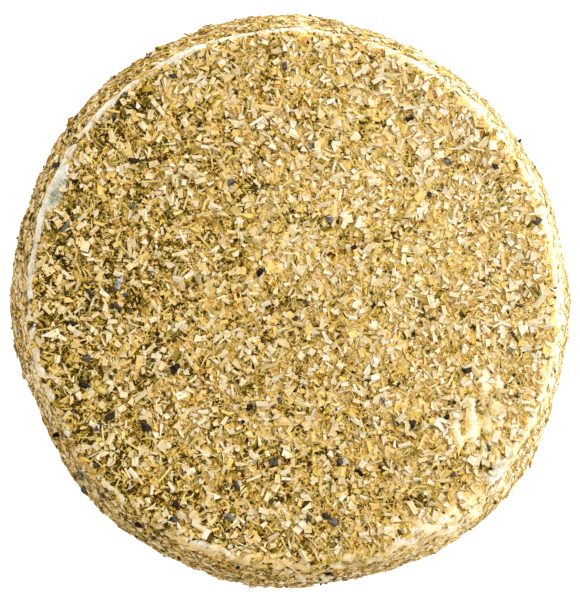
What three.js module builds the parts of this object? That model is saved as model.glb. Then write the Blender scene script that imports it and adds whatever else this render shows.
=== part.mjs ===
// A whole, uncut wheel of soft cheese with a herb-crusted rind, lying flat on its base.
// Lengths are in millimetres and +Z is up. The origin is at the middle of the wheel's
// footprint, on the surface it rests on, and +Y is near the wheel's longer way across.

import * as THREE from 'three';
import { mergeVertices } from 'three/addons/utils/BufferGeometryUtils.js';

// Driving dimensions: heights above the resting face, and mean plan radii at each level.
const wheelHeight = 46;
const bellyRadius = 81.8;
const bellyHeight = 21;
const footRadius = 73;
const rimRadius = 77.6;
const rimHeight = 41.5;
const lipRadius = 73.4;
const dishRadius = 62;
const dishDepth = 1;

// How far each curve of the profile runs on before it turns.
const footRun = 7;
const bellyRun = 11;
const rimLeanIn = 2;
const rimLeanUp = 3.6;
const rimRoundIn = 1.1;
const rimRoundUp = 2;
const lipRun = 2.2;
const dishRun = 5;

// The plan is a little oval, with dents (negative) and swells (positive) round its edge.
// Angles are in degrees from +X towards +Y.
const ovalDepth = 2;
const ovalAngle = 111;
const edgeFeatures = [
  { angle: 10, halfWidth: 7, depth: -1.5 },
  { angle: 65, halfWidth: 12, depth: -0.6 },
  { angle: 92, halfWidth: 9, depth: 0.4 },
  { angle: 115, halfWidth: 12, depth: -0.7 },
  { angle: 156, halfWidth: 12, depth: -0.6 },
  { angle: 187, halfWidth: 12, depth: 0.8 },
  { angle: 223, halfWidth: 13, depth: 1 },
  { angle: 283, halfWidth: 12, depth: -2 },
  { angle: 320, halfWidth: 17, depth: 1.1 },
];

// The rim and the foot follow only a share of what the belly's outline does.
const rimShare = 0.4;

// The top face is gently wavy, and flat waves like these run right across it.
const topWaves = [
  { height: 0.35, length: 74, direction: 25, shift: 0.6 },
  { height: 0.25, length: 47, direction: 100, shift: 2.1 },
  { height: 0.2, length: 38, direction: 160, shift: 4.4 },
];

// Fineness of the faces: steps round the wheel, and steps along each curve of the profile.
const stepsRound = 84;
const stepsAlong = 7;

const mergeTolerance = 1e-3;

// Half of the wheel's section, from the middle of the base out, up and in to the axis again.
function wheelProfile() {
  const dishHeight = wheelHeight - dishDepth;
  const profile = new THREE.Path();
  profile.moveTo(0, 0);
  profile.lineTo(footRadius, 0);
  profile.bezierCurveTo(
    footRadius + footRun, 0,
    bellyRadius, bellyHeight - bellyRun,
    bellyRadius, bellyHeight,
  );
  profile.bezierCurveTo(
    bellyRadius, bellyHeight + bellyRun,
    rimRadius + rimLeanIn, rimHeight - rimLeanUp,
    rimRadius, rimHeight,
  );
  profile.bezierCurveTo(
    rimRadius - rimRoundIn, rimHeight + rimRoundUp,
    lipRadius + lipRun, wheelHeight,
    lipRadius, wheelHeight,
  );
  profile.bezierCurveTo(
    lipRadius - dishRun, wheelHeight,
    dishRadius + dishRun, dishHeight,
    dishRadius, dishHeight,
  );
  profile.bezierCurveTo(
    dishRadius * 2 / 3, dishHeight,
    dishRadius / 3, dishHeight,
    0, dishHeight,
  );
  return profile.getPoints(stepsAlong);
}

// How far the belly's outline stands out from its mean radius at an angle in radians.
function outlineOffset(angle) {
  const turn = THREE.MathUtils.degToRad(ovalAngle);
  let offset = ovalDepth * Math.cos(2 * (angle - turn));
  for (const feature of edgeFeatures) {
    const away = angle - THREE.MathUtils.degToRad(feature.angle);
    const nearest = Math.atan2(Math.sin(away), Math.cos(away));
    const spread = nearest / THREE.MathUtils.degToRad(feature.halfWidth);
    offset += feature.depth * Math.exp(-spread * spread);
  }
  return offset;
}

// Full share of the outline at the belly, falling to the rim's share above and below it.
function outlineShare(height) {
  const away = Math.abs(height - bellyHeight) / bellyHeight;
  const falling = THREE.MathUtils.smoothstep(away, 0, 1);
  return THREE.MathUtils.lerp(1, rimShare, falling);
}

// The height of the waves at a place on the top face.
function topWave(x, y) {
  let height = 0;
  for (const wave of topWaves) {
    const direction = THREE.MathUtils.degToRad(wave.direction);
    const along = x * Math.cos(direction) + y * Math.sin(direction);
    height += wave.height * Math.sin(2 * Math.PI * along / wave.length + wave.shift);
  }
  return height;
}

// Moves each point of the round wheel to where the uneven outline and top put it.
function shapeUnevenly(geometry) {
  const places = geometry.attributes.position;
  const place = new THREE.Vector3();
  for (let i = 0; i < places.count; i += 1) {
    place.fromBufferAttribute(places, i);
    const angle = Math.atan2(place.y, place.x);
    const stretch = 1 + outlineOffset(angle) * outlineShare(place.z) / bellyRadius;
    place.x *= stretch;
    place.y *= stretch;
    const upper = THREE.MathUtils.smoothstep(place.z, bellyHeight, rimHeight);
    place.z += upper * topWave(place.x, place.y);
    places.setXYZ(i, place.x, place.y, place.z);
  }
}

// Puts the middle of the footprint on the Z axis and the resting face at zero height.
function centreOnFootprint(geometry) {
  geometry.computeBoundingBox();
  const middle = geometry.boundingBox.getCenter(new THREE.Vector3());
  geometry.translate(-middle.x, -middle.y, -geometry.boundingBox.min.z);
}

// One turned solid, shaped by hand: the whole cheese, with nothing cut from it.
function wheelGeometry() {
  const turned = new THREE.LatheGeometry(wheelProfile(), stepsRound);
  turned.rotateX(Math.PI / 2);
  turned.deleteAttribute('normal');
  turned.deleteAttribute('uv');
  const closed = mergeVertices(turned, mergeTolerance);
  shapeUnevenly(closed);
  centreOnFootprint(closed);
  closed.computeVertexNormals();
  return closed;
}

const herbRind = new THREE.MeshStandardMaterial({
  name: 'herb_rind',
  color: new THREE.Color(0.78, 0.66, 0.4),
  roughness: 0.85,
  metalness: 0,
});

const wheel = new THREE.Mesh(wheelGeometry(), herbRind);
wheel.name = 'cheese_wheel';

const softCheese = new THREE.Group();
softCheese.add(wheel);

export default softCheese;
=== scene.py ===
# %% [markdown]
# # A soft cheese in a coat of dried herbs
# The object is one whole wheel of soft cheese. It is pressed all over into chopped herbs,
# so what the eye sees is thousands of small straw-coloured chips, leaf bits and cracked
# pepper, with the pale rind showing where the coat is rubbed off.
# We make the rind as one modelled shell, and then one joined mesh for each kind of bit.

# %% Load the fixed frame
import math

import bmesh
import bpy
import numpy as np
from mathutils import Matrix, Vector


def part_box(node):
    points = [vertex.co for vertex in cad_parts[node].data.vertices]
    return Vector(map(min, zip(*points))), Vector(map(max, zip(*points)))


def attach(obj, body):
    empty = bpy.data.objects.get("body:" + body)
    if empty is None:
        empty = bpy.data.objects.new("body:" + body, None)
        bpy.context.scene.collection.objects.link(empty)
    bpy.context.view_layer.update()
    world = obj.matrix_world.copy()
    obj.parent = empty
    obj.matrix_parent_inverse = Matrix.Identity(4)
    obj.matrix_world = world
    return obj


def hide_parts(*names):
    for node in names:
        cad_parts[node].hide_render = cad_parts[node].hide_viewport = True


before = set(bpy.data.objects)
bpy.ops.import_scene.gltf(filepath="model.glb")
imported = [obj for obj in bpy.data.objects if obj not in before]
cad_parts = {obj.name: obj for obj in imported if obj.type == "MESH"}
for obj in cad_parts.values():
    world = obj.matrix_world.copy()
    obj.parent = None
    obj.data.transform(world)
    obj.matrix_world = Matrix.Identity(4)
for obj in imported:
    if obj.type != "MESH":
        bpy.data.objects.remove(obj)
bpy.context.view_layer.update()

MM = 0.001
wheel_low, wheel_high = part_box("cheese_wheel")
wheel_height = wheel_high.z - wheel_low.z
print("the wheel measures, in mm:", [round(size / MM, 1) for size in wheel_high - wheel_low])

# %% [markdown]
# ## The camera
# The photograph looks almost straight down on the wheel from about 70 cm. It
# leans a few degrees towards the lower left, so a little more of the side shows there.
# Near the vertical an aimed camera can roll, so we build its three axes ourselves, with
# +Y kept upwards in the picture.

# %% Camera
image_height = 600
wheel_per_pixel = 0.29 * MM
camera_distance = 0.70
camera_lean = math.radians(4.1)
camera_side = math.radians(230)
camera_sensor = 36.0
aim = Vector((-0.1 * MM, 0.1 * MM, 21 * MM))

back = Vector((
    math.sin(camera_lean) * math.cos(camera_side),
    math.sin(camera_lean) * math.sin(camera_side),
    math.cos(camera_lean),
))
right = Vector((0, 1, 0)).cross(back).normalized()
up = back.cross(right)
camera_data = bpy.data.cameras.new("camera")
camera_data.sensor_width = camera_sensor
camera_data.lens = camera_sensor * camera_distance / (image_height * wheel_per_pixel)
camera = bpy.data.objects.new("camera", camera_data)
camera.matrix_world = Matrix.Translation(aim + back * camera_distance) @ Matrix(
    (right, up, back)
).transposed().to_4x4()
bpy.context.scene.collection.objects.link(camera)
bpy.context.scene.camera = camera
print("lens, in mm:", round(camera_data.lens, 1))

# %% [markdown]
# ## The rind
# Under the herbs lies the cheese itself. Its true form is the fixed CAD solid, so we take
# a copy, merge its loose triangles, and remesh it to an even grain that can carry relief.
# The coat has a thickness of its own, so the skin is drawn in a little to make room.

# %% Helpers for modelling
def deselect_all():
    bpy.ops.object.select_all(action="DESELECT")


def choose(piece):
    """Selects one piece alone and makes it the active one."""
    deselect_all()
    piece.select_set(True)
    bpy.context.view_layer.objects.active = piece


def edit_all(piece):
    """Goes to edit mode with the whole of a piece selected."""
    choose(piece)
    bpy.ops.object.mode_set(mode="EDIT")
    bpy.ops.mesh.select_all(action="SELECT")


def leave_edit():
    bpy.ops.object.mode_set(mode="OBJECT")


def modify(piece, name, kind, **settings):
    """Adds a modifier with these settings, and applies it."""
    modifier = piece.modifiers.new(name, kind)
    for key, value in settings.items():
        setattr(modifier, key, value)
    choose(piece)
    bpy.ops.object.modifier_apply(modifier=modifier.name)


def read_rows(items, name, width=3, kind=np.float64):
    """One row of values for each item of a mesh, as an array."""
    values = np.empty(len(items) * width, dtype=kind)
    items.foreach_get(name, values)
    return values.reshape(-1, width)


# %% The skin of the cheese, drawn in under the coat
coat_depth = 1.0 * MM
skin_grain = 0.88 * MM

cad_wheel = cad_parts["cheese_wheel"]
rind = bpy.data.objects.new("cheese_rind", cad_wheel.data.copy())
bpy.context.scene.collection.objects.link(rind)
rind.data.materials.clear()
edit_all(rind)
bpy.ops.mesh.remove_doubles(threshold=0.01 * MM)
leave_edit()

modify(rind, "even_grain", "REMESH", mode="VOXEL", voxel_size=skin_grain, use_smooth_shade=True)
modify(rind, "soften", "SMOOTH", factor=0.5, iterations=14)
modify(rind, "draw_in", "DISPLACE", mid_level=0, strength=-coat_depth)
print("skin faces:", len(rind.data.polygons))

# %% [markdown]
# ## Where the coat is rubbed off
# The crest of the rim, where the top turns into the side, rubs against everything, and the
# pale rind shows there almost all the way round. We find that crest on the skin itself, by
# the slope of its normals, so that rubbed places can be given by an angle round the wheel
# and a distance across the crest. One function then tells how bare any place is. The rind
# takes its colour from it, and the herbs keep away from it.

# %% The crest line of the rim
crest_steps = 180
crest_slopes = (0.62, 0.82)
crest_zone = 0.7
top_zone = 0.55
skin_points = read_rows(rind.data.vertices, "co")
skin_normals = read_rows(rind.data.vertex_normals, "vector")


def angle_of(points):
    """Angle round the wheel in degrees, from +X towards +Y."""
    return np.degrees(np.arctan2(points[:, 1], points[:, 0])) % 360


def degrees_from(angles, turn):
    """Signed angle from a place round the wheel, from -180 to 180 degrees."""
    return (angles - turn + 180) % 360 - 180


on_crest = (skin_normals[:, 2] > crest_slopes[0]) & (skin_normals[:, 2] < crest_slopes[1])
on_crest &= skin_points[:, 2] > crest_zone * wheel_height
crest_points = skin_points[on_crest]
crest_bin = (angle_of(crest_points) / 360 * crest_steps).astype(int) % crest_steps
crest_count = np.bincount(crest_bin, minlength=crest_steps)
crest_reach = np.hypot(crest_points[:, 0], crest_points[:, 1])
crest_radius = np.bincount(crest_bin, crest_reach, crest_steps) / crest_count
crest_height = np.bincount(crest_bin, crest_points[:, 2], crest_steps) / crest_count
print("crest radius in mm:", (crest_radius.min() / MM).round(1), (crest_radius.max() / MM).round(1))


def across_crest(points):
    """Distance from the crest line in metres: negative on the top, positive on the side."""
    turn = angle_of(points) / 360 * crest_steps - 0.5
    steps = np.arange(-1, crest_steps + 1)
    radius = np.interp(turn, steps, crest_radius[steps % crest_steps])
    height = np.interp(turn, steps, crest_height[steps % crest_steps])
    outward = np.hypot(points[:, 0], points[:, 1]) - radius
    upward = points[:, 2] - height
    away = np.hypot(outward, upward)
    return np.where(outward - upward > 0, away, -away)


def side_share(points, blend):
    """From 0 on the top to 1 on the side, rising over this many mm past the crest."""
    return np.clip(across_crest(points) / (blend * MM), 0, 1)


# %% Smooth noise for hand-made unevenness
layers = 14


def ripple(points, length, seed):
    """Smooth seeded waves from about -1 to 1, with about this length between crests."""
    draw = np.random.default_rng(seed)
    total = np.zeros(len(points))
    for _ in range(layers):
        direction = draw.normal(size=3)
        direction /= np.linalg.norm(direction)
        pitch = length * draw.uniform(0.7, 1.6)
        shift = draw.uniform(0, 2 * math.pi)
        total += np.sin(points @ direction * 2 * math.pi / pitch + shift)
    return total / math.sqrt(layers)


def ripples(points, waves):
    """A sum of such waves, given as rows of strength, length in mm and seed."""
    total = 0
    for strength, length, seed in waves:
        total = total + strength * ripple(points, length * MM, seed)
    return total


# %% The rubbed places
# Round the rim: angle and half-length in degrees, distance across the crest and half-width
# in mm, how bare the place is, and how white its bloom is.
rubbed_places = [
    (10, 24, 0.0, 1.1, 0.9, 0.5),
    (45, 13, 0.0, 1.8, 0.65, 0.7),
    (66, 12, 0.3, 1.4, 0.62, 0.8),
    (95, 17, 0.0, 0.75, 1.0, 0.9),
    (116, 9, 0.1, 1.3, 1.0, 1.0),
    (135, 12, 0.4, 1.4, 1.05, 1.0),
    (154, 11, 0.0, 1.8, 1.05, 1.0),
    (156, 4.5, -2.0, 1.5, 0.72, 1.0),
    (171, 11, -0.3, 1.1, 0.95, 1.0),
    (199, 17, -0.4, 1.2, 0.55, 0.85),
    (227, 5, -0.6, 1.3, 0.75, 0.5),
    (258, 19, 0.2, 1.0, 0.72, 0.1),
    (256, 20, -0.6, 2.4, 0.5, 0.1),
    (253, 6, -1.4, 1.1, 0.66, 0.9),
    (284, 8, 1.6, 3.4, 0.5, 0.2),
    (298, 6, -1.6, 1.4, 0.6, 0.8),
    (303, 12, 0.0, 1.8, 0.7, 0.45),
    (319, 4, -1.0, 1.9, 0.9, 0.85),
    (325, 10, 0.0, 1.6, 0.85, 0.5),
    (347, 14, 0.0, 1.2, 0.9, 0.5),
    (312, 22, 3.8, 3.0, 0.42, 0.25),
    (350, 20, 3.4, 2.6, 0.5, 0.4),
    (25, 20, 3.4, 2.6, 0.52, 0.5),
]
# On the top: x, y, half-length and half-width in mm, direction in degrees, how bare, how white.
smears = [
    (53.6, -23.3, 3.4, 1.2, 80, 1.3, 0.6),
    (57.6, -24.6, 2.3, 0.95, 95, 1.25, 0.6),
    (50.2, -34.5, 6.6, 1.25, 92, 1.35, 0.6),
    (45.8, -38.8, 3.6, 1.05, 100, 1.3, 0.6),
    (54.6, -35, 3.2, 0.9, 95, 1.25, 0.45),
    (57.6, -48.2, 3.4, 1.7, 45, 1.25, 1.0),
    (61.6, -37.6, 1.8, 1.5, 60, 1.0, 0.9),
    (36.2, -60.3, 1.4, 1.0, 30, 0.8, 0.9),
    (41.5, -62.8, 1.8, 1.2, 30, 0.85, 0.9),
    (33, -68, 2.4, 1.4, 25, 0.85, 0.9),
    (52, -60, 2.4, 1.4, 50, 0.9, 0.5),
    (44.3, -65.9, 2.0, 1.4, 35, 0.9, 0.6),
    (54, -33, 11, 7, 90, 0.39, 0.3),
    (61, -45, 9, 7, 60, 0.38, 0.3),
    (46, -58, 13, 6, 35, 0.36, 0.1),
    (34, -65, 9, 5, 20, 0.37, 0.2),
    (26, -15, 8, 6, 60, 0.32, 0.1),
    (-5, 14, 9, 6, 120, 0.34, 0.1),
    (-4, -34, 8, 5, 100, 0.3, 0.1),
]
# The mould, as round the rim: angle, half-length, distance across the crest and half-width.
mould_places = [(156, 4, -2.0, 1.5)]

# Strength, length in mm and seed of the waves that make the edges of these places ragged.
rub_waves = [(0.6, 5, 11), (0.6, 2.4, 12)]
mould_waves = [(0.6, 3, 14), (0.4, 1.5, 15)]
patch_length = 3.6
patch_seed = 13
rub_raggedness = 0.4
mould_raggedness = 0.6
rub_reach = 1.2
smear_reach = 1.3
wear_gain = 2.9
wear_start = 0.95


def wear(strength, patches):
    """How far a rub of this strength wears each patch, above 1 where it is wiped clean."""
    return np.clip(wear_gain * strength - wear_start - patches, 0, 1) * max(strength, 1) ** 3


def bareness(points, widen=1.0):
    """How bare each place is, above 1 where it is wiped clean, and how white from 0 to 1."""
    angle = angle_of(points)
    across = across_crest(points) / MM
    wobble = ripples(points, rub_waves)
    patches = ripple(points, patch_length * MM, patch_seed)
    bare = np.zeros(len(points))
    white = np.zeros(len(points))
    for turn, half_length, middle, half_width, strength, bloom in rubbed_places:
        along = degrees_from(angle, turn) / half_length
        aside = (across - middle) / (half_width * widen)
        reach = along ** 4 + aside ** 2
        place = np.clip(rub_reach - reach + rub_raggedness * wobble, 0, 1)
        place *= wear(strength, patches)
        white = np.where(place > bare, bloom, white)
        bare = np.maximum(bare, place)
    upper = points[:, 2] > top_zone * wheel_height
    for x, y, half_length, half_width, direction, strength, bloom in smears:
        turn = math.radians(direction)
        east, north = points[:, 0] / MM - x, points[:, 1] / MM - y
        along = (east * math.cos(turn) + north * math.sin(turn)) / (half_length * widen)
        aside = (north * math.cos(turn) - east * math.sin(turn)) / (half_width * widen)
        reach = smear_reach - along ** 2 - aside ** 2
        place = upper * np.clip(reach + rub_raggedness * wobble, 0, 1)
        place *= wear(strength, patches)
        white = np.where(place > bare, bloom, white)
        bare = np.maximum(bare, place)
    return bare, white


def mouldiness(points):
    """How much grey-green mould grows at each place, from 0 to 1."""
    wobble = ripples(points, mould_waves)
    mould = np.zeros(len(points))
    for turn, half_length, middle, half_width in mould_places:
        along = degrees_from(angle_of(points), turn) / half_length
        aside = (across_crest(points) / MM - middle) / half_width
        reach = rub_reach - along ** 2 - aside ** 2
        mould = np.maximum(mould, np.clip(reach + mould_raggedness * wobble, 0, 1))
    return mould


# %% [markdown]
# ## Lumps, dents, darker places and painted light
# The cheese was shaped by hand, so its side has low lumps and two dents, and the coat
# follows them. The mixture of herbs is uneven too: dark bits gather in clumps, mostly at
# the left. The coat is also made paler towards the right, most of all on the right side:
# that is painted light, for the lamp at the right. One function says how gloomy each place
# is, painted light included, and both the bits and the rind follow it.

# %% Lumps and dents of the side
# Strength in mm, length in mm and seed of the lumps, and what share of them the top has.
lump_waves = [(0.32, 9, 21), (0.24, 4, 22)]
top_lumps = 0.3
lump_blend = 3
# Round the side: angle and half-width in degrees, and depth in mm.
side_dents = [(205, 9, 1.1), (342, 10, 0.8)]


def lumpiness(points):
    """How far the surface stands out at each place, in metres."""
    side = side_share(points, lump_blend)
    lump = ripples(points, lump_waves)
    lump *= top_lumps + (1 - top_lumps) * side
    for turn, half_width, depth in side_dents:
        along = degrees_from(angle_of(points), turn) / half_width
        lump -= depth * side * np.exp(-along ** 2)
    return lump * MM


# %% Where the coat is darker, and where painted light makes it paler
# How fast the gloom falls towards the right and the back, and more so on the right side:
# this fall is painted light, paler where the lamp at the right shines hardest.
lit_paling_rightward = 0.86
lit_paling_backward = 0.15
lit_paling_on_side = 0.9
gloom_waves = [(0.48, 8, 31), (0.52, 3.8, 32)]
# x, y and radius in mm, and how gloomy: there more dark bits lie, and fewer pale ones.
gloomy_places = [
    (-65, 15, 8, 1.0), (-49, 1, 7, 0.9), (-60, -24, 7, 0.8), (-58, -37, 6, 0.7),
    (-65, -5, 7, 0.8), (-48, 52, 7, 0.7), (-26, 49, 5, 0.5), (-36, 19, 6, 0.6),
    (-48, -48, 7, 0.6), (-34, -57, 6, 0.6), (-19, -61, 6, 0.6), (7, -52, 5, 0.6),
    (18, -52, 5, 0.6), (54, -42, 4, 0.8), (44, 40, 5, 0.8), (-6, -46, 6, 0.6),
    (-41, -19, 6, 0.7), (-17, 6, 5, 0.8), (30, -60, 6, 0.5), (8, 20, 4, 0.4),
    (26, -15, 9, -0.6), (27, 32, 7, -0.5), (-19, 55, 6, -0.5), (-12, -31, 6, -0.4),
    (30, -50, 5, -0.5), (-3, 14, 9, -0.5), (50, 8, 9, -0.3), (20, 10, 8, -0.3),
    (46, 45, 14, -0.55), (-52, 50, 13, 0.4), (-66, 2, 12, 0.2), (48, -54, 11, 0.6),
]


def gloom_and_light_at(points):
    """How gloomy the coat is at each place: about -1 at the right, made paler there as painted
    light, to 1 at the left.
    """
    sideways = points[:, 0] / wheel_high.x
    # Painted light: the coat grows paler towards the right and the back, and more on the right
    # side.
    gloom_and_light = -lit_paling_rightward * sideways - lit_paling_backward * points[:, 1] / wheel_high.y
    gloom_and_light -= lit_paling_on_side * np.clip(sideways, 0, 1) ** 2 * (across_crest(points) > 0)
    gloom_and_light += ripples(points, gloom_waves)
    for x, y, radius, strength in gloomy_places:
        away = np.hypot(points[:, 0] / MM - x, points[:, 1] / MM - y) / radius
        gloom_and_light += strength * np.exp(-away ** 2) * (points[:, 2] > top_zone * wheel_height)
    return gloom_and_light


# %% Keep the undisturbed skin for laying the coat on
keep_clear = 1.3
halo_width = 1.9
steep_from = 0.75
steep_span = 0.4
steep_surplus = 0.45
side_blend = 2
# The dust of bloom on the side: its mean share, its swing, and the angle where most lies.
# Where most lies, at the right and the back, the dust is also painted light that pales the
# side where the lamp at the right shines hardest.
lit_dust_level = 0.28
lit_dust_swing = 0.3
lit_dust_angle = 40


def steepness(level):
    """From 0 where the skin lies level to 1 where it stands upright."""
    return np.clip((steep_from - level) / steep_span, 0, 1)


skin_mesh = rind.data
skin_mesh.calc_loop_triangles()
triangles = read_rows(skin_mesh.loop_triangles, "vertices", kind=np.int64)
corner_a, corner_b, corner_c = (skin_points[triangles[:, i]] for i in range(3))
triangle_area = np.linalg.norm(np.cross(corner_b - corner_a, corner_c - corner_a), axis=1) / 2
triangle_middle = (corner_a + corner_b + corner_c) / 3
triangle_bare, _ = bareness(triangle_middle, keep_clear)
triangle_halo, triangle_white = bareness(triangle_middle, halo_width)
# The gloom of each triangle, with the painted light of the right in it.
triangle_gloom_and_light = gloom_and_light_at(triangle_middle)
facing = np.abs(np.cross(corner_b - corner_a, corner_c - corner_a)[:, 2]) / triangle_area / 2
side_surplus = 1 + steep_surplus * steepness(facing)
# Pale bloom dust on the side, thickest at the right and the back: there it is partly painted light.
lit_dust_turn = np.radians(angle_of(triangle_middle) - lit_dust_angle)
lit_side_dust = lit_dust_level + lit_dust_swing * np.cos(lit_dust_turn)
lit_side_dust *= side_share(triangle_middle, side_blend)
print("skin area, in square cm:", round(triangle_area.sum() * 1e4, 1))

# %% [markdown]
# ## Relief on the rind
# A hand-made skin is never smooth. Two cloud textures push it in and out: broad soft
# swells, and a fine pitting where bits were pressed in and fell out. Bare paste then rises
# to the level of the coat, because there the cheese itself was pressed up between the bits.
# Last, white chalky bloom is laid on the right and the left of the side. On the right it is
# also painted light, paling the side where the lamp at the right shines hardest.

# %% Relief
def add_clouds(piece, name, size, strength):
    """Pushes the skin in and out by a cloud texture whose lumps have this size."""
    clouds = bpy.data.textures.new(name, "CLOUDS")
    clouds.noise_scale = size
    clouds.noise_depth = 2
    push = {"texture": clouds, "texture_coords": "LOCAL", "mid_level": 0.5}
    modify(piece, name, "DISPLACE", strength=strength, **push)


add_clouds(rind, "soft_swells", 14 * MM, 0.9 * MM)
unpitted = read_rows(rind.data.vertices, "co")
add_clouds(rind, "fine_pits", 1.6 * MM, 0.7 * MM)

bare_rise = 0.5 * MM
smoothing = 0.75
lowest_rind = 0.05 * MM
# The chalk on the side: mean, swing and angle at the right, most of it, then angle and
# width at the left, both in degrees, and how white it all is. The chalk at the right is
# painted light, for the side lit hardest by the lamp there.
lit_chalk_level = 0.1
lit_chalk_swing = 0.6
lit_chalk_angle = 15
most_pale_side = 0.42
left_chalk_angle = 190
left_chalk_width = 45
chalk_and_lit_white = 0.55
rind_bare_and_lit, rind_white_and_lit = bareness(skin_points)
rind_bare_and_lit = np.minimum(rind_bare_and_lit, 1)
skin_angle = angle_of(skin_points)
# Painted light: the side turns chalky pale towards the right, where the lamp shines hardest; a pale
# band lies at the left as well.
chalk_and_lit_paling = lit_chalk_level + lit_chalk_swing * np.cos(np.radians(skin_angle - lit_chalk_angle))
chalk_and_lit_paling = np.clip(chalk_and_lit_paling, 0, most_pale_side)
chalk_and_lit_paling += most_pale_side * np.exp(-((skin_angle - left_chalk_angle) / left_chalk_width) ** 2)
chalk_and_lit_paling *= side_share(skin_points, side_blend)
rind_white_and_lit = np.where(chalk_and_lit_paling > rind_bare_and_lit, chalk_and_lit_white, rind_white_and_lit)
rind_bare_and_lit = np.maximum(rind_bare_and_lit, chalk_and_lit_paling)
pits = read_rows(rind.data.vertices, "co") - unpitted
rise = rind_bare_and_lit * bare_rise + lumpiness(skin_points)
risen = unpitted + pits * (1 - smoothing * rind_bare_and_lit)[:, None] + skin_normals * rise[:, None]
risen[:, 2] = np.maximum(risen[:, 2], lowest_rind)
rind.data.vertices.foreach_set("co", risen.ravel())
# The rubbed and bloom values hold the chalk too, so on the right side they carry painted light; the
# gloom holds painted light as well.
rind_looks = {
    "rubbed": rind_bare_and_lit,
    "bloom": rind_white_and_lit,
    "mould": mouldiness(skin_points),
    "gloom_and_light": gloom_and_light_at(skin_points),
}
for name, values in rind_looks.items():
    layer = rind.data.attributes.new(name, "FLOAT", "POINT")
    layer.data.foreach_set("value", values.astype(np.float32))
rind.data.update()
print("bare share of the skin:", round(float(rind_bare_and_lit.mean()), 3))

# %% [markdown]
# ## One grain of each kind
# Each kind of bit is modelled as a few small shapes, in millimetres, and copied
# later by the thousand. A copied shape needs few faces, so a crumb or a torn strand is a
# pyramid of only four. Chips of straw are broken blocks, slivers are thin bent strips,
# leaves are folded flakes, and pepper is a round corn cracked along flat faces.

# %% Helpers for grains
def select_where(piece, kind, wanted):
    """Goes to edit mode and selects the faces or the points that pass a test."""
    choose(piece)
    bpy.ops.object.mode_set(mode="EDIT")
    bpy.ops.mesh.select_mode(type=kind)
    bpy.ops.mesh.select_all(action="DESELECT")
    grid = bmesh.from_edit_mesh(piece.data)
    for part in (grid.faces if kind == "FACE" else grid.verts):
        part.select_set(bool(wanted(part)))
    if kind == "VERT":
        grid.select_flush(True)
    bmesh.update_edit_mesh(piece.data)


def taper(piece, size, shift=(0, 0, 0)):
    """Narrows the far end of a grain, and moves it."""
    select_where(piece, "FACE", lambda face: face.normal.x > 0.5)
    bpy.ops.transform.resize(value=size)
    bpy.ops.transform.translate(value=shift)
    leave_edit()


def lift_middle(piece, reach, axis, shift):
    """Moves the points that lie within reach of the middle along an axis, as a bend does."""
    select_where(piece, "VERT", lambda point: abs(point.co[axis]) < reach)
    bpy.ops.transform.translate(value=shift)
    leave_edit()


def start_grain(add_shape, scale, **settings):
    """Adds a simple shape to work on, stretched to size."""
    deselect_all()
    add_shape(**settings)
    piece = bpy.context.active_object
    piece.scale = scale
    bpy.ops.object.transform_apply(location=False, rotation=False, scale=True)
    return piece


def block(length, width, depth):
    """A block of that size, the start of every broken chip."""
    return start_grain(bpy.ops.mesh.primitive_cube_add, (length, width, depth), size=1)


def roughen(piece, amount, seed):
    """Moves every point a little, as breaking does."""
    edit_all(piece)
    bpy.ops.transform.vertex_random(offset=amount, uniform=1, normal=0, seed=seed)
    leave_edit()


def take_shape(piece):
    """The finished grain as arrays of points and triangles. Removes the piece."""
    edit_all(piece)
    bpy.ops.mesh.normals_make_consistent(inside=False)
    bpy.ops.mesh.quads_convert_to_tris()
    leave_edit()
    points = read_rows(piece.data.vertices, "co")
    corners = read_rows(piece.data.loops, "vertex_index", 1, np.int64)
    bpy.data.objects.remove(piece)
    return {"points": points, "corners": corners.reshape(-1, 3)}


def press_flat(piece, share):
    """Presses a grain flat, as drying and rolling do."""
    edit_all(piece)
    bpy.ops.transform.resize(value=(1, 1, share))
    leave_edit()


def cut_across(piece, place, direction, clear=False):
    """Cuts a grain by a plane, and with clear set snaps off what lies beyond it."""
    edit_all(piece)
    bpy.ops.mesh.bisect(
        plane_co=place, plane_no=direction, use_fill=clear, clear_outer=clear, threshold=0.0001
    )
    leave_edit()


# %% Chips of straw
def straw_brick(seed):
    """A short length of stem, broken square at one end and aslant at the other."""
    piece = block(2.6, 1.5, 1.4)
    taper(piece, (1, 0.8, 1), (0.1, 0.15, 0))
    roughen(piece, 0.2, seed)
    press_flat(piece, 0.36)
    return take_shape(piece)


def straw_wedge(seed):
    """A chip split to a narrow edge at one end."""
    piece = block(2.5, 1.5, 1.2)
    taper(piece, (1, 0.35, 0.6))
    roughen(piece, 0.16, seed)
    press_flat(piece, 0.4)
    return take_shape(piece)


def straw_shard(seed):
    """A chip with one corner snapped off."""
    piece = block(2.5, 1.7, 1.2)
    cut_across(piece, (0.45, 0.15, 0), (0.8, 0.6, 0), clear=True)
    roughen(piece, 0.12, seed)
    press_flat(piece, 0.36)
    return take_shape(piece)


def straw_shell(seed):
    """A split piece of hollow stem, curved across like a gutter."""
    piece = block(2.8, 1.5, 0.35)
    cut_across(piece, (0, 0.27, 0), (0, 1, 0))
    cut_across(piece, (0, -0.27, 0), (0, 1, 0))
    lift_middle(piece, 0.5, 1, (0, 0, 0.28))
    roughen(piece, 0.1, seed)
    return take_shape(piece)


straw_shapes = [straw_brick(1), straw_brick(2), straw_wedge(3), straw_shard(4)]
straw_shapes += [straw_shell(5), straw_shard(6), straw_wedge(7), straw_brick(8)]
print("straw shapes, triangles each:", [len(shape["corners"]) for shape in straw_shapes])


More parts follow.
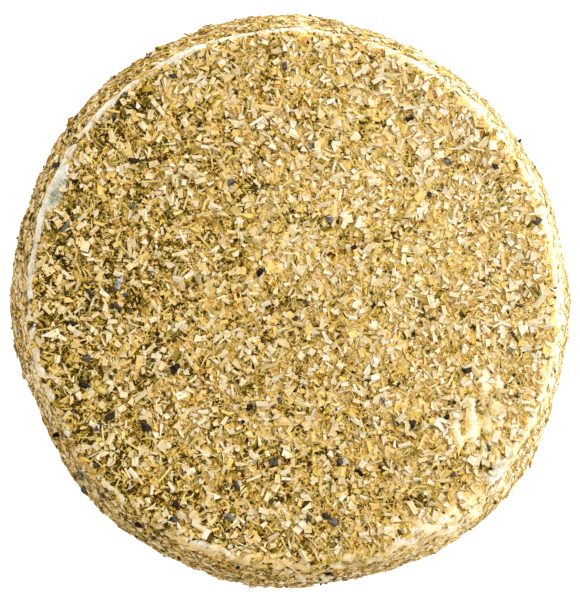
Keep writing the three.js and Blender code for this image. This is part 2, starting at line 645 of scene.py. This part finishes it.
# %% Slivers, shreds, leaves, crumbs and pepper
def stem_sliver(seed, bend):
    """A thin strip of stem, bent along its length and pointed at one end."""
    piece = block(4.2, 0.5, 0.34)
    cut_across(piece, (0.2, 0, 0), (1, 0, 0))
    lift_middle(piece, 1, 0, (0, bend, 0.12))
    taper(piece, (1, 0.35, 0.5))
    roughen(piece, 0.09, seed)
    return take_shape(piece)


def herb_shred(seed):
    """A small torn splinter, three-sided, the filling between the larger bits."""
    prism = bpy.ops.mesh.primitive_cylinder_add
    piece = start_grain(prism, (2.0, 0.95, 1), vertices=3, radius=0.5, depth=0.5)
    roughen(piece, 0.3, seed)
    press_flat(piece, 0.6)
    return take_shape(piece)


def leaf_flake(seed, fold):
    """A crumpled flake of leaf, folded along its middle rib."""
    grid = bpy.ops.mesh.primitive_grid_add
    piece = start_grain(grid, (2.4, 1.4, 1), x_subdivisions=2, y_subdivisions=2, size=1)
    lift_middle(piece, 0.1, 1, (0, 0, fold))
    select_where(piece, "VERT", lambda point: abs(point.co.x) > 1)
    bpy.ops.transform.resize(value=(1, 0.5, 1))
    leave_edit()
    roughen(piece, 0.22, seed)
    modify(piece, "thicken", "SOLIDIFY", thickness=0.16, offset=0)
    return take_shape(piece)


def pyramid(radius, scale):
    """A pyramid of four faces, the start of the smallest bits."""
    cone = bpy.ops.mesh.primitive_cone_add
    return start_grain(cone, scale, vertices=3, radius1=radius, radius2=0, depth=0.8)


def crumb(seed):
    """A crumb, the dust of the same herbs."""
    piece = pyramid(0.7, (1.2, 1, 1))
    roughen(piece, 0.25, seed)
    press_flat(piece, 0.6)
    return take_shape(piece)


def strand(seed):
    """A thread torn off a stem, long and thin."""
    piece = pyramid(0.8, (2.1, 0.5, 0.5))
    roughen(piece, 0.14, seed)
    return take_shape(piece)


def pepper_grain(seed, cracks):
    """A wrinkled peppercorn, cracked along rough faces."""
    deselect_all()
    bpy.ops.mesh.primitive_ico_sphere_add(subdivisions=2, radius=1.25)
    piece = bpy.context.active_object
    roughen(piece, 0.42, seed)
    for place, normal in cracks:
        cut_across(piece, place, normal, clear=True)
    return take_shape(piece)


sliver_bends = [(1, 0.25), (2, 0.5), (3, -0.35), (4, 0.1), (5, -0.6)]
sliver_shapes = [stem_sliver(seed, bend) for seed, bend in sliver_bends]
leaf_folds = [(1, 0.3), (2, 0.5), (3, 0.15), (4, -0.3)]
leaf_shapes = [leaf_flake(seed, fold) for seed, fold in leaf_folds]
shred_shapes = [herb_shred(seed) for seed in range(1, 8)]
crumb_shapes = [crumb(seed) for seed in range(1, 8)]
strand_shapes = [strand(seed) for seed in range(1, 8)]
pepper_shapes = [
    pepper_grain(1, [((0.5, 0, 0.4), (0.6, 0.3, 0.8))]),
    pepper_grain(2, [((0.3, 0, 0.2), (0.8, 0.2, 0.5))]),
    pepper_grain(3, [((0, 0.3, 0.1), (0.1, 1, 0.4)), ((-0.4, 0, 0), (-1, 0.3, 0.2))]),
    pepper_grain(4, [((0.1, 0, 0.3), (0.2, 0.1, 1)), ((0, -0.6, 0), (0.3, -1, 0))]),
]
print("pepper shapes, triangles each:", [len(shape["corners"]) for shape in pepper_shapes])

# %% [markdown]
# ## Sowing the bits
# A kind of bit is sown as one joined mesh. For each bit we draw a place on the skin, turn
# it round at random, tilt it, and press it in or let it stand on the others. It lies
# flatter on the side and underneath, where the wheel was rolled and set down. It keeps off
# the rubbed places, apart from loose white grains of bloom, which lie round them and on the
# side; on the side at the right and the back they are also painted light, thickest where
# the lamp at the right shines hardest. Each bit's faces are laid on one cell of a small
# sheet of swatches, so that every bit has a tint of its own and its fibres run along it.

# %% The sowing tools
cells = 16
face_window = (0.08, 0.92, 0.08, 0.64)
edge_window = (0.08, 0.92, 0.76, 0.92)
flat_slope = 0.55
rest_gap = 0.04 * MM
gap_range = 0.3
spot_growth = 1.5
spot_zone = 0.6
side_shrink = 0.28
level_slope = 0.8
side_press = 0.5
rim_press = 0.55
rim_blend = 7 * MM
underside_height = 1.6 * MM
underside_share = 0.5


def swatch_corners(shape):
    """Where each corner of each triangle lies inside its swatch cell."""
    points, corners = shape["points"], shape["corners"]
    low, high = points.min(0), points.max(0)
    share = (points - low) / (high - low)
    a, b, c = (points[corners[:, i]] for i in range(3))
    normal = np.cross(b - a, c - a)
    normal /= np.linalg.norm(normal, axis=1)[:, None]
    flat = np.abs(normal[:, 2]) > flat_slope
    end = np.abs(normal[:, 0]) > np.abs(normal[:, 1])
    along = np.where((flat | ~end)[:, None], share[corners, 0], share[corners, 1])
    aside = np.where(flat[:, None], share[corners, 1], share[corners, 2])
    window = np.where(flat[:, None], [face_window], [edge_window])
    u = window[:, 0:1] + (window[:, 1:2] - window[:, 0:1]) * along
    v = window[:, 2:3] + (window[:, 3:4] - window[:, 2:3]) * aside
    return np.stack([u, v], axis=2)


def unit(rows):
    return rows / np.linalg.norm(rows, axis=1)[:, None]


def add_joined_mesh(name, points, corners, spots_on_sheet):
    """A new piece made of flat triangles, with its layout on the sheet of swatches."""
    mesh = bpy.data.meshes.new(name)
    mesh.vertices.add(len(points))
    mesh.vertices.foreach_set("co", points.ravel())
    mesh.loops.add(len(corners))
    mesh.loops.foreach_set("vertex_index", corners)
    mesh.polygons.add(len(corners) // 3)
    mesh.polygons.foreach_set("loop_start", np.arange(0, len(corners), 3))
    sheet = mesh.uv_layers.new(name="OFBake")
    sheet.data.foreach_set("uv", spots_on_sheet.ravel())
    mesh.update(calc_edges=True)
    mesh.shade_flat()
    piece = bpy.data.objects.new(name, mesh)
    bpy.context.scene.collection.objects.link(piece)
    return piece


def sow(name, shapes, per_square_cm, seed, grow, tilt, lift, spread=0.3, gloom_and_light=0.0, cling=0.04,
        spots=(), share=None):
    """One joined mesh of a kind of bit, sown over the skin.

    grow is the length, width and depth of a bit against its shape, spread how much that
    varies, tilt its usual tilt in degrees, and lift the lowest and highest place of its
    middle over the skin in mm. The gloom setting is how much more of it lies where the coat
    is dark, and so how much less where the coat is made paler at the right as painted light,
    and cling how much of it stays where the rest is rubbed off. spots are extra bits at
    places seen from above, in mm. share, if given, says instead how much of it lies on each
    triangle.
    """
    draw = np.random.default_rng(seed)
    if share is None:
        under = triangle_middle[:, 2] < underside_height
        share = np.clip(1 - (1 - cling) * triangle_bare, 0, 1)
        share = share * np.where(under, underside_share, 1)
        # More dark bits and fewer pale ones where the coat is gloomy; the paler right is painted
        # light.
        share = share * np.exp(gloom_and_light * triangle_gloom_and_light)
    weight = triangle_area * share * side_surplus
    count = int(round(weight.sum() * 1e4 * per_square_cm))
    total = np.cumsum(weight)
    chosen = np.searchsorted(total, draw.uniform(0, total[-1], count))
    if spots:
        on_top = np.nonzero(triangle_middle[:, 2] > spot_zone * wheel_height)[0]
        gaps = np.linalg.norm(triangle_middle[on_top][:, None, :2] / MM - np.array(spots), axis=2)
        chosen = np.concatenate([chosen, on_top[gaps.argmin(axis=0)]])
        count = len(chosen)
    first = np.sqrt(draw.uniform(size=count))
    second = draw.uniform(size=count)
    shares = np.stack([1 - first, first * (1 - second), first * second], axis=1)
    place = np.einsum("nk,nkd->nd", shares, skin_points[triangles[chosen]])
    normal = unit(np.einsum("nk,nkd->nd", shares, skin_normals[triangles[chosen]]))

    pressed = np.where(normal[:, 2] > level_slope, 1.0, side_press)
    near_rim = np.clip(1 - np.abs(across_crest(place)) / rim_blend, 0, 1)
    pressed *= 1 - rim_press * near_rim
    height = (lift[0] + (lift[1] - lift[0]) * draw.uniform(size=count) * pressed) * MM
    tipped = np.radians(np.abs(draw.normal(0, tilt, count)) * pressed)
    sizes = np.array(grow) * np.exp(draw.normal(0, spread, (count, 3)) - 0.5 * spread ** 2)
    sizes *= (1 - side_shrink * steepness(np.abs(normal[:, 2])))[:, None]

    helper = unit(draw.normal(size=(count, 3)))
    along = unit(np.cross(normal, helper))
    lean = draw.uniform(0, 2 * math.pi, count)[:, None]
    lean_way = along * np.cos(lean) + np.cross(normal, along) * np.sin(lean)
    top = normal * np.cos(tipped)[:, None] + lean_way * np.sin(tipped)[:, None]
    along = unit(along - top * np.sum(along * top, axis=1)[:, None])
    aside = np.cross(top, along)
    middle = place + normal * (height + lumpiness(place))[:, None]
    kind = draw.integers(len(shapes), size=count)
    if spots:
        sizes[-len(spots):] *= spot_growth
    cell = draw.integers(cells, size=(count, 2))
    under_gap = rest_gap + draw.uniform(0, gap_range, count) * MM

    all_points, all_corners, all_spots, start = [], [], [], 0
    for number, shape in enumerate(shapes):
        picked = np.nonzero(kind == number)[0]
        local = shape["points"][None] * sizes[picked][:, None] * MM
        world = middle[picked][:, None] + local[..., 0:1] * along[picked][:, None]
        world += local[..., 1:2] * aside[picked][:, None]
        world += local[..., 2:3] * top[picked][:, None]
        world[..., 2] = np.maximum(world[..., 2], under_gap[picked][:, None])
        points_each = len(shape["points"])
        offset = start + np.arange(len(picked)) * points_each
        all_points.append(world.reshape(-1, 3))
        all_corners.append((shape["corners"][None] + offset[:, None, None]).reshape(-1))
        swatch = (cell[picked][:, None, None] + swatch_corners(shape)[None]) / cells
        all_spots.append(swatch.reshape(-1, 2))
        start += points_each * len(picked)

    corners = np.concatenate(all_corners)
    print(name, "bits:", count, "triangles:", len(corners) // 3)
    return add_joined_mesh(name, np.concatenate(all_points), corners, np.concatenate(all_spots))


# %% Sow the coat
pepper_places = [
    (-26, 67), (-34, 62), (-51, 50), (-45, 38), (-19, 32), (-26, 48), (44, 38), (69, 21),
    (-49, 3), (-49, -3), (-65, 11), (-10, 6), (-40, -18), (-58, -18), (-60, -25), (-51, -34),
    (-6, -47), (-18, -62), (-16, -53), (18, -49), (11, -63), (54, -42), (43, -34), (33, -36),
    (48, -21), (10, 22), (57, 37), (-64, 19), (-45, 25), (-60, 26), (-33, -21), (-42, -36),
    (-55, -37), (-33, -58), (-66, 37), (-66, -39), (-59, -50), (-53, -56), (-58, -54), (-43, -64),
]
# Name, shapes, bits in a square cm, seed, growth, tilt, lift, spread, gloom and cling.
# The gloom holds the painted light that makes the right paler.
coat_kinds = [
    ("pale_crumbs", crumb_shapes, 63, 101, (0.8, 0.72, 0.7), 28, (0.0, 0.7), 0.4, -0.7, 0.4),
    ("gold_crumbs", crumb_shapes, 69, 102, (0.85, 0.75, 0.8), 28, (0.0, 0.6), 0.4, 0.25, 0.3),
    ("dark_crumbs", crumb_shapes, 34, 103, (0.84, 0.76, 0.8), 28, (0.1, 0.8), 0.4, 0.9, 0.1),
    ("torn_strands", strand_shapes, 30, 104, (0.8, 0.8, 0.9), 18, (0.2, 0.8), 0.35, -0.2, 0.2),
    ("gold_shreds", shred_shapes, 14.5, 105, (0.85, 0.8, 0.9), 22, (0.0, 0.7), 0.4, 0.1, 0.15),
    ("khaki_shreds", shred_shapes, 7, 106, (0.9, 0.75, 0.9), 22, (0.1, 0.8), 0.4, 0.7, 0.1),
    ("leaf_bits", leaf_shapes, 2.3, 107, (0.7, 0.7, 1), 22, (0.2, 0.8), 0.35, 0.6),
    ("gold_chips", straw_shapes, 8, 108, (0.8, 0.76, 0.9), 15, (0.2, 0.8), 0.32, 0.1),
    ("stem_slivers", sliver_shapes, 7.2, 109, (0.74, 0.8, 1), 14, (0.4, 0.9), 0.38),
    ("straw_chips", straw_shapes, 7, 110, (0.84, 0.8, 1), 17, (0.4, 1.0), 0.3, 0.35),
    # Whiter copies of the straw chips that gather at the right: painted light, the straw washed out
    # where the lamp there shines hardest.
    ("cream_chips", straw_shapes, 6, 114, (0.84, 0.8, 1), 17, (0.4, 1.0), 0.3, -0.8),
    ("rust_flakes", leaf_shapes, 0.6, 111, (0.65, 0.8, 1.2), 18, (0.4, 0.9)),
]
coat = {}
for row in coat_kinds:
    coat[row[0]] = sow(*row)

# %% Sow the pepper and the bloom
pepper_row = ("cracked_pepper", pepper_shapes, 0.22, 112, (0.68, 0.68, 0.62), 60, (0.6, 0.95))
coat["cracked_pepper"] = sow(*pepper_row, 0.28, 0.6, spots=pepper_places)

bloom_gain = 3.3
bloom_start = 2.3
white_halo = triangle_halo * np.clip(triangle_white * bloom_gain - bloom_start, 0, 1)
# Bloom dust round the rubbed places, and on the side, where at the right it is also painted light.
bloom_and_lit_dust_row = ("bloom_dust", crumb_shapes, 92, 113, (0.62, 0.62, 0.6), 30, (0.2, 0.8), 0.4)
coat["bloom_dust"] = sow(*bloom_and_lit_dust_row, share=np.maximum(white_halo, lit_side_dust))

# %% Bits that stick out of the side
stray_places = [(-64.7, 51.9), (70.3, -47.9), (-30, 77)]
stray_row = ("stray_stems", sliver_shapes, 0, 127, (0.8, 1.2, 1.2), 150, (0.9, 1.6), 0.2)
coat["stray_stems"] = sow(*stray_row, spots=stray_places)

# %% [markdown]
# ## Unwrapping the rind
# To carry its colours elsewhere the rind needs a flat layout. The top and the underside
# are laid out as discs, and the side as four strips, a quarter of the way round each.

# %% Lay the rind out flat
disc_slope = 0.6
top_middle = (0.31, 0.69)
top_radius = 0.3
base_middle = 0.815
base_radius = 0.18
# Where the strips of the side start, how long and high they are, and how far apart.
strip_start = (0.02, 0.004)
strip_length = 0.96
strip_height = 0.084
strip_pitch = 0.092

rind_corners = read_rows(rind.data.loops, "vertex_index", 1, np.int64)[:, 0]
corners_each = read_rows(rind.data.polygons, "loop_total", 1, np.int64)[:, 0]
face_first = np.concatenate([[0], np.cumsum(corners_each)[:-1]])
face_slope = np.add.reduceat(skin_normals[rind_corners, 2], face_first) / corners_each
face_angle = angle_of(skin_points[rind_corners[face_first]])
slope = np.repeat(face_slope, corners_each)
quarter = np.repeat(face_angle // 90, corners_each)
corner_spots = skin_points[rind_corners]
reach = np.abs(corner_spots[:, :2]).max()
flat_x, flat_y = corner_spots[:, 0] / reach, corner_spots[:, 1] / reach
quarter_turn = degrees_from(angle_of(corner_spots) - quarter * 90, 45)
round_share = quarter_turn / 90 + 0.5
height_share = corner_spots[:, 2] / wheel_height
on_top = slope > disc_slope
strip_x = strip_start[0] + strip_length * round_share
strip_y = strip_start[1] + strip_pitch * quarter + strip_height * height_share
layout = np.stack([
    np.where(on_top, top_middle[0] + top_radius * flat_x, strip_x),
    np.where(on_top, top_middle[1] + top_radius * flat_y, strip_y),
], axis=1)
below = slope < -disc_slope
base_x = base_middle + base_radius * flat_x[below]
base_y = base_middle + base_radius * flat_y[below]
layout[below] = np.stack([base_x, base_y], axis=1)
rind_sheet = rind.data.uv_layers.new(name="OFBake")
rind_sheet.data.foreach_set("uv", layout.ravel())
print("rind laid out, from", layout.min(0).round(3), "to", layout.max(0).round(3))

# %% [markdown]
# ## Finishes
# The rind is a waxy paste under a white bloom, stained gold by the herbs that lie on it.
# The bits are dry plants: matt, fibrous, and never two alike. Their material reads the
# swatch sheet: the cell gives the tint, and streaks along the cell give the fibres.

# %% Helpers for node materials
def new_material(name):
    material = bpy.data.materials.new(name)
    material.use_nodes = True
    tree = material.node_tree
    return material, tree, tree.nodes["Principled BSDF"]


def node(tree, kind, settings=None, **inputs):
    """Adds a node, sets it, and links or sets its named inputs."""
    made = tree.nodes.new(kind)
    for key, value in (settings or {}).items():
        setattr(made, key, value)
    for key, value in inputs.items():
        socket = made.inputs[int(key[1:])] if key[1:].isdigit() else made.inputs[key]
        if isinstance(value, bpy.types.NodeSocket):
            tree.links.new(value, socket)
        else:
            socket.default_value = value
    return made


def ramp(tree, factor, stops):
    """A colour ramp of (place, colour) stops."""
    made = tree.nodes.new("ShaderNodeValToRGB")
    band = made.color_ramp
    while len(band.elements) < len(stops):
        band.elements.new(0.5)
    for element, (place, colour) in zip(band.elements, stops):
        element.position = place
        element.color = (*colour, 1)
    tree.links.new(factor, made.inputs["Fac"])
    return made.outputs["Color"]


def mix(tree, blend, factor, first, second):
    """Mixes two colours."""
    made = tree.nodes.new("ShaderNodeMix")
    made.data_type = "RGBA"
    made.blend_type = blend
    sockets = (made.inputs[0], made.inputs[6], made.inputs[7])
    for socket, value in zip(sockets, (factor, first, second)):
        if isinstance(value, bpy.types.NodeSocket):
            tree.links.new(value, socket)
        else:
            socket.default_value = value if socket.type == "VALUE" else (*value, 1)
    return made.outputs[2]


def number_node(tree, operation, *values):
    """The result of a sum on numbers."""
    named = {f"_{place}": value for place, value in enumerate(values)}
    return node(tree, "ShaderNodeMath", {"operation": operation}, **named).outputs[0]


def vector_node(tree, operation, **values):
    """The result of a sum on vectors."""
    return node(tree, "ShaderNodeVectorMath", {"operation": operation}, **values).outputs[0]


def noise(tree, spot, scale, detail, roughness=0.5):
    """Soft noise, of this many lumps in a metre."""
    values = {"Vector": spot, "Scale": scale, "Detail": detail, "Roughness": roughness}
    return node(tree, "ShaderNodeTexNoise", **values).outputs[0]


def remap(tree, value, first, last, start=0.0, end=1.0):
    """Spreads the range from first to last over start to end."""
    limits = {"_1": first, "_2": last, "_3": start, "_4": end}
    return node(tree, "ShaderNodeMapRange", Value=value, **limits).outputs[0]


# %% The bits' material
plain_streaks = (0.74, 1.10)
# The sides of each bit are darker and more golden: partly their own colour, partly painted shade.
plain_edge_tint_and_shade = (0.88, 0.76, 0.56)
aged_tint = (0.88, 0.83, 0.66)
cell_shift = (3.7, 5.3, 0)
fibre_stretch = (1.2, 9, 1)
edge_line = 0.7


def swatch_material(name, tints, roughness, seed, streaks=plain_streaks, edge_tint_and_shade=plain_edge_tint_and_shade):
    """Dry plant bits: a tint for each swatch cell, with fibres along it, and sides darkened, partly
    as painted shade.
    """
    material, tree, shader = new_material(name)
    sheet = node(tree, "ShaderNodeUVMap", {"uv_map": "OFBake"}).outputs[0]
    scaled = vector_node(tree, "SCALE", _0=sheet, _3=cells)
    cell = vector_node(tree, "FLOOR", _0=scaled)
    inside = vector_node(tree, "FRACTION", _0=scaled)
    drawn = node(tree, "ShaderNodeTexWhiteNoise", {"noise_dimensions": "4D"}, Vector=cell, W=seed)
    tint = ramp(tree, drawn.outputs["Value"], tints)
    shifted = vector_node(tree, "MULTIPLY_ADD", _0=cell, _1=cell_shift, _2=inside)
    stretched = vector_node(tree, "MULTIPLY", _0=shifted, _1=fibre_stretch)
    plane = {"noise_dimensions": "2D"}
    fibres = node(tree, "ShaderNodeTexNoise", plane, Vector=stretched, Scale=1.0, Detail=2.0)
    shade = remap(tree, fibres.outputs[0], 0.3, 0.7, streaks[0], streaks[1])
    aged = node(tree, "ShaderNodeSeparateColor", _0=drawn.outputs["Color"]).outputs[1]
    tint = mix(tree, "MULTIPLY", aged, tint, aged_tint)
    streaked = vector_node(tree, "SCALE", _0=tint, _3=shade)
    height = node(tree, "ShaderNodeSeparateXYZ", _0=inside).outputs[1]
    on_edge = number_node(tree, "GREATER_THAN", height, edge_line)
    # The sides of each bit are darkened: partly their own deeper colour, partly painted shade.
    darker = mix(tree, "MULTIPLY", on_edge, streaked, edge_tint_and_shade)
    tree.links.new(darker, shader.inputs["Base Color"])
    shader.inputs["Roughness"].default_value = roughness
    shader.inputs["Specular IOR Level"].default_value = 0.04
    return material


straw_tints = [
    (0.0, (0.775, 0.615, 0.335)),
    (0.25, (0.79, 0.69, 0.475)),
    (0.5, (0.81, 0.725, 0.545)),
    (0.75, (0.78, 0.645, 0.385)),
    (1.0, (0.79, 0.585, 0.335)),
]
# The whiter straw of the right: painted light, for chips washed out by the lamp at the right.
lit_cream_tints = [
    (0.0, (0.80, 0.685, 0.485)),
    (0.4, (0.82, 0.75, 0.62)),
    (0.8, (0.83, 0.77, 0.67)),
    (1.0, (0.80, 0.645, 0.435)),
]
dust_tints = [
    (0.0, (0.90, 0.665, 0.24)),
    (0.25, (0.91, 0.765, 0.48)),
    (0.5, (0.90, 0.725, 0.40)),
    (0.75, (0.92, 0.685, 0.37)),
    (1.0, (0.89, 0.71, 0.33)),
]
gold_tints = [
    (0.0, (0.83, 0.535, 0.095)),
    (0.3, (0.88, 0.645, 0.21)),
    (0.5, (0.82, 0.595, 0.15)),
    (0.7, (0.88, 0.625, 0.27)),
    (0.88, (0.79, 0.44, 0.085)),
    (1.0, (0.48, 0.285, 0.022)),
]
chip_tints = [
    (0.0, (0.75, 0.51, 0.13)),
    (0.3, (0.84, 0.63, 0.26)),
    (0.5, (0.77, 0.59, 0.18)),
    (0.75, (0.85, 0.59, 0.27)),
    (1.0, (0.84, 0.68, 0.36)),
]
khaki_tints = [
    (0.0, (0.42, 0.26, 0.02)),
    (0.4, (0.56, 0.40, 0.045)),
    (0.75, (0.28, 0.18, 0.012)),
    (1.0, (0.60, 0.34, 0.07)),
]
strand_tints = [
    (0.0, (0.84, 0.70, 0.36)),
    (0.25, (0.78, 0.64, 0.20)),
    (0.45, (0.50, 0.45, 0.09)),
    (0.65, (0.84, 0.74, 0.50)),
    (0.85, (0.80, 0.56, 0.20)),
    (1.0, (0.31, 0.29, 0.05)),
]
leaf_tints = [
    (0.0, (0.21, 0.17, 0.025)),
    (0.4, (0.33, 0.28, 0.05)),
    (0.7, (0.12, 0.095, 0.014)),
    (1.0, (0.06, 0.048, 0.010)),
]
dark_tints = [
    (0.0, (0.14, 0.080, 0.004)),
    (0.3, (0.21, 0.135, 0.008)),
    (0.5, (0.035, 0.023, 0.003)),
    (0.7, (0.09, 0.070, 0.008)),
    (0.85, (0.06, 0.030, 0.004)),
    (1.0, (0.030, 0.025, 0.022)),
]
rust_tints = [(0.0, (0.58, 0.28, 0.06)), (0.5, (0.66, 0.40, 0.15)), (1.0, (0.42, 0.21, 0.05))]
pepper_tints = [
    (0.0, (0.015, 0.010, 0.007)),
    (0.45, (0.032, 0.022, 0.016)),
    (0.7, (0.085, 0.075, 0.072)),
    (1.0, (0.25, 0.243, 0.245)),
]
# The bloom dust's tints; on the right side these pale grains also stand for painted light.
bloom_and_lit_dust_tints = [
    (0.0, (0.70, 0.60, 0.42)),
    (0.4, (0.82, 0.77, 0.67)),
    (0.7, (0.82, 0.70, 0.46)),
    (1.0, (0.66, 0.60, 0.50)),
]

# Kind of bit, material, tints, roughness and seed; then streaks and edge where not plain.
# The edge darkens the sides, partly as painted shade.
finishes = [
    ("straw_chips", "pale_straw", straw_tints, 0.7, 1.0),
    ("cream_chips", "cream_straw", lit_cream_tints, 0.7, 14.0),
    ("gold_chips", "golden_stalk", chip_tints, 0.75, 2.0),
    ("stem_slivers", "split_stem", strand_tints, 0.65, 3.0),
    ("leaf_bits", "dried_leaf", leaf_tints, 0.8, 4.0),
    ("pale_crumbs", "pale_dust", dust_tints, 0.85, 11.0),
    ("gold_crumbs", "gold_dust", gold_tints, 0.85, 5.0),
    ("dark_crumbs", "dark_dust", dark_tints, 0.85, 6.0),
    ("torn_strands", "torn_stem", strand_tints, 0.75, 12.0),
    ("gold_shreds", "gold_shred", gold_tints, 0.8, 9.0),
    ("khaki_shreds", "khaki_shred", khaki_tints, 0.8, 10.0),
    ("rust_flakes", "rusty_husk", rust_tints, 0.75, 7.0),
    # The pepper's sides are darkened an even grey: painted shade.
    ("cracked_pepper", "black_pepper", pepper_tints, 0.8, 8.0, (0.2, 2.4), (0.7, 0.7, 0.7)),
    # White bloom dust, which on the right side is also painted light.
    ("bloom_dust", "bloom", bloom_and_lit_dust_tints, 0.9, 13.0),
    ("stray_stems", "stray_stem", rust_tints, 0.8, 15.0),
]
for kind, *finish in finishes:
    coat[kind].data.materials.append(swatch_material(*finish))


# %% The rind's material
bed_tints = [
    (0.44, (0.06, 0.034, 0.002)),
    (0.56, (0.32, 0.19, 0.018)),
    (0.67, (0.73, 0.48, 0.09)),
    (0.8, (0.91, 0.66, 0.24)),
    (1.0, (0.93, 0.78, 0.47)),
]
tan_tints = [(0.35, (0.70, 0.45, 0.14)), (0.6, (0.88, 0.66, 0.34))]
cream_tones = [(0.36, (0.80, 0.67, 0.44)), (0.58, (0.92, 0.84, 0.68))]
white_tints = [(0.36, (0.54, 0.47, 0.36)), (0.47, (0.70, 0.66, 0.59)), (0.6, (0.80, 0.79, 0.78))]
speck_tint = (0.36, 0.33, 0.25)
mould_tint = (0.20, 0.24, 0.19)


def rind_material():
    """Paste stained gold by the herbs, and pale bloom where it is rubbed bare and on the side,
    where the paler right is painted light.
    """
    material, tree, shader = new_material("bloomy_rind")
    spot = node(tree, "ShaderNodeTexCoord").outputs["Object"]
    looks = {
        name: node(tree, "ShaderNodeAttribute", {"attribute_name": name}).outputs["Fac"]
        for name in ("rubbed", "bloom", "mould", "gloom_and_light")
    }
    crumbs = node(tree, "ShaderNodeTexVoronoi", Vector=spot, Scale=1150.0)
    drawn = node(tree, "ShaderNodeSeparateColor", _0=crumbs.outputs["Color"]).outputs[0]
    grain = noise(tree, spot, 420.0, 3.0)
    # The bed darkens with the gloom, and so grows paler at the right as painted light.
    darker_by_gloom_and_light = number_node(tree, "MULTIPLY", looks["gloom_and_light"], -0.26)
    settled = number_node(tree, "MULTIPLY_ADD", drawn, 0.45, darker_by_gloom_and_light)
    settled = number_node(tree, "ADD", settled, grain)
    bed = ramp(tree, settled, bed_tints)
    broad = noise(tree, spot, 260.0, 5.0, 0.65)
    specks = noise(tree, spot, 1100.0, 2.0)
    # On the right side the bloom and rubbed values hold painted light, so the paste there is paler.
    creamy = remap(tree, looks["bloom"], 0.0, 0.6)
    whitened = remap(tree, looks["bloom"], 0.6, 1.0)
    paste = mix(tree, "MIX", creamy, ramp(tree, broad, tan_tints), ramp(tree, broad, cream_tones))
    paste = mix(tree, "MIX", whitened, paste, ramp(tree, broad, white_tints))
    speck = remap(tree, specks, 0.36, 0.44, 0.45, 0.0)
    paste = mix(tree, "MIX", speck, paste, speck_tint)
    flecks = remap(tree, specks, 0.42, 0.56, 0.3, 1.0)
    mouldy = number_node(tree, "MULTIPLY", looks["mould"], flecks)
    paste = mix(tree, "MIX", mouldy, paste, mould_tint)
    ragged = number_node(tree, "MULTIPLY_ADD", specks, 0.6, looks["rubbed"])
    strength = remap(tree, ragged, 0.42, 0.8)
    colour = mix(tree, "MIX", strength, bed, paste)
    tree.links.new(colour, shader.inputs["Base Color"])
    shader.inputs["Roughness"].default_value = 0.65
    shader.inputs["Specular IOR Level"].default_value = 0.1
    fine = noise(tree, spot, 1500.0, 3.0)
    bump = node(tree, "ShaderNodeBump", Strength=0.35, Distance=0.0004, Height=fine)
    tree.links.new(bump.outputs[0], shader.inputs["Normal"])
    return material


rind.data.materials.append(rind_material())

# %% [markdown]
# ## The studio
# The photograph is bright and shadowless: a big soft light at the right, light from all
# round, and a floor so white that it burns out. The plain floor glows, as the lit table of
# such a studio does, and a little blue, because the light of the room is warm.

# %% Floor and lights
floor_size = 6
floor_height = -0.02 * MM
floor_glow = (0.78, 0.86, 1.0, 1)
floor_glow_strength = 0.88
room_light = (1, 0.89, 0.57, 1)
room_strength = 0.43

deselect_all()
bpy.ops.mesh.primitive_plane_add(size=floor_size, location=(0, 0, floor_height))
floor = bpy.context.active_object
floor.name = "floor"
floor_material, _, floor_shader = new_material("white_floor")
floor_shader.inputs["Base Color"].default_value = (0.9, 0.9, 0.9, 1)
floor_shader.inputs["Roughness"].default_value = 0.9
floor_shader.inputs["Emission Color"].default_value = floor_glow
floor_shader.inputs["Emission Strength"].default_value = floor_glow_strength
floor.data.materials.append(floor_material)


def softbox(name, place, size, power, colour):
    """A square soft light that faces the cheese."""
    data = bpy.data.lights.new(name, "AREA")
    data.size = size
    data.energy = power
    data.color = colour
    light = bpy.data.objects.new(name, data)
    light.location = place
    light.rotation_mode = "QUATERNION"
    light.rotation_quaternion = (lit_place - Vector(place)).to_track_quat("-Z", "Y")
    light.visible_camera = False
    bpy.context.scene.collection.objects.link(light)


lit_place = Vector((0, 0, 0.02))
# Name, place and size in metres, power and colour.
softboxes = [
    ("key_light", (0.32, 0.10, 0.36), 0.75, 4.62, (0.955, 0.98, 1.0)),
    ("right_fill", (0.45, 0.0, 0.10), 0.3, 0.3, (1, 1, 1)),
    ("left_fill", (-0.52, -0.12, 0.18), 0.3, 0.8, (1.0, 0.93, 0.80)),
    ("back_fill", (-0.15, 0.55, 0.2), 0.3, 1.2, (1.0, 0.94, 0.82)),
]
for row in softboxes:
    softbox(*row)

world = bpy.data.worlds.new("studio")
world.use_nodes = True
background = world.node_tree.nodes["Background"]
background.inputs["Color"].default_value = room_light
background.inputs["Strength"].default_value = room_strength
bpy.context.scene.world = world
bpy.context.scene.view_settings.view_transform = "Standard"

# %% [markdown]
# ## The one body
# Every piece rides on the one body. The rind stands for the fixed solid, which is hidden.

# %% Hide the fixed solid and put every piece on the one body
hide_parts("cheese_wheel")
for piece in [rind, *coat.values()]:
    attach(piece, "root")
